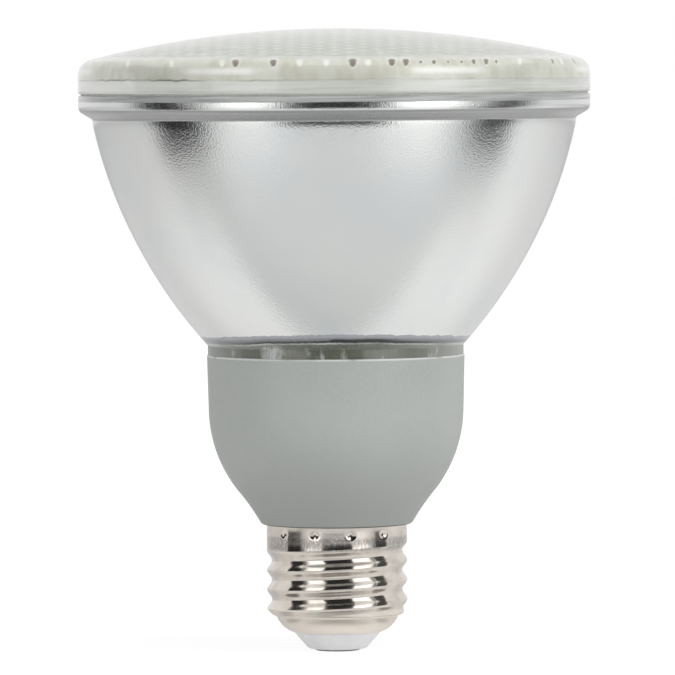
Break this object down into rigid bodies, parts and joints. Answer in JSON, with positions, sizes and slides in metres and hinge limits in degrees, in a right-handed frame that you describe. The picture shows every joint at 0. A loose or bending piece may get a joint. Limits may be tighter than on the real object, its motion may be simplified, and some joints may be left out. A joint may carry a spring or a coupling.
{
  "type": "compact fluorescent reflector flood bulb",
  "caption": "Reflector flood bulb: domed glass lens on a mirrored glass bowl, grey ballast housing and a threaded metal screw base that holds it and feeds it current.",
  "frame": {"origin": "on the bulb's axis, at the underside of the centre contact, the lowest point of the base", "axes": "+Z along the bulb's axis from the base to the lens; X and Y across it"},
  "size_m": [0.0952, 0.0952, 0.1159],
  "materials": {
    "lens_glass": "pressed clear glass, fine stipple on the inside",
    "mirrored_glass": "clear pressed glass over a bright aluminium coat",
    "seal_bead": "cured adhesive",
    "cement": "set cement",
    "housing_plastic": "moulded grey, fine matt grain",
    "holder_plastic": "moulded white",
    "phosphor_glass": "glass tube with a white coat inside",
    "nickel": "bright nickel plate on rolled sheet",
    "insulator_plastic": "moulded white, slight gloss",
    "contact_metal": "tinned",
    "board_laminate": "phenolic laminate",
    "capacitor_sleeve": "shrink sleeve",
    "ferrite": "sintered, matt",
    "copper": "enamelled wire",
    "component_epoxy": "moulded black epoxy",
    "film_dip": "dipped epoxy",
    "resistor_coat": "cement coat",
    "wire_cover": "covered wire",
    "tinned_wire": "bare tinned wire"
  },
  "bodies": {
    "root": {"lens": "lens_glass", "lens_seal": "seal_bead", "reflector": "mirrored_glass", "neck_cement": "cement", "discharge_tube": "phosphor_glass", "tube_holder": "holder_plastic", "tube_leads": "tinned_wire", "housing": "housing_plastic", "circuit_board": "board_laminate", "filter_capacitor": "capacitor_sleeve", "choke_core": "ferrite", "choke_winding": "copper", "drive_toroid": "ferrite", "transistor_high": "component_epoxy", "transistor_low": "component_epoxy", "resonant_capacitor": "film_dip", "rectifier_diodes": "component_epoxy", "fusible_resistor": "resistor_coat", "live_lead": "wire_cover", "neutral_lead": "wire_cover", "screw_shell": "nickel", "base_insulator": "insulator_plastic", "centre_contact": "contact_metal"}
  },
  "joints": []
}
